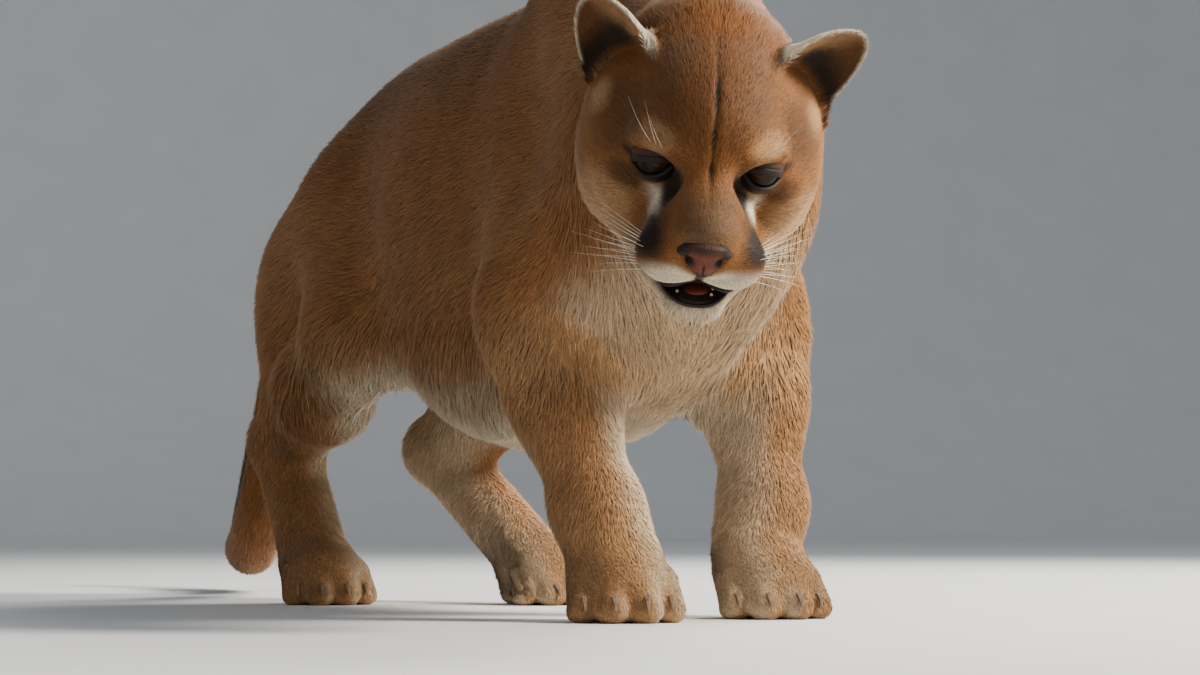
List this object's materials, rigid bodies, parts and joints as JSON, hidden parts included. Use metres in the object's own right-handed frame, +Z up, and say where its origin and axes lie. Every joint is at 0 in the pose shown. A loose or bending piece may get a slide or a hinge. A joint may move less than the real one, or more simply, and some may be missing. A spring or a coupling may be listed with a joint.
{
  "type": "cougar",
  "caption": "Life-size cougar standing low in a stalking walk, head lowered and turned to one side, mouth slightly open, long tail curving out behind.",
  "frame": {"origin": "on the floor, under the middle of the bounding box", "axes": "+Y from head to tail along the body, +X to the cougar's left, +Z up"},
  "size_m": [0.3227, 1.4965, 0.5341],
  "materials": {
    "tawny_coat": "short dense fur",
    "dark_coat": "short dense fur",
    "dark_skin": "soft sheen",
    "nose_skin": "finely pebbled",
    "tongue_skin": "moist",
    "eye": "wet gloss",
    "tooth": "smooth gloss",
    "claw": "smooth horn"
  },
  "bodies": {
    "root": {"canine_left": "tooth", "canine_right": "tooth", "claw_fore_left_1": "claw", "claw_fore_left_2": "claw", "claw_fore_left_3": "claw", "claw_fore_left_4": "claw", "claw_fore_right_1": "claw", "claw_fore_right_2": "claw", "claw_fore_right_3": "claw", "claw_fore_right_4": "claw", "claw_hind_left_1": "claw", "claw_hind_left_2": "claw", "claw_hind_left_3": "claw", "claw_hind_left_4": "claw", "claw_hind_right_1": "claw", "claw_hind_right_2": "claw", "claw_hind_right_3": "claw", "claw_hind_right_4": "claw", "ear_left": "tawny_coat", "ear_right": "tawny_coat", "eye_left": "eye", "eye_right": "eye", "foreleg_left": "tawny_coat", "foreleg_right": "tawny_coat", "forepaw_left": "tawny_coat", "forepaw_right": "tawny_coat", "head": "tawny_coat", "hindleg_left": "tawny_coat", "hindleg_right": "tawny_coat", "hindpaw_left": "tawny_coat", "hindpaw_right": "tawny_coat", "lid_lower_left": "dark_skin", "lid_lower_right": "dark_skin", "lid_upper_left": "dark_skin", "lid_upper_right": "dark_skin", "lip_lower": "dark_skin", "lip_upper": "dark_skin", "neck": "tawny_coat", "nose": "nose_skin", "tail_end": "dark_coat", "tail_middle": "tawny_coat", "tail_root": "tawny_coat", "tongue": "tongue_skin", "torso": "tawny_coat"}
  },
  "joints": []
}
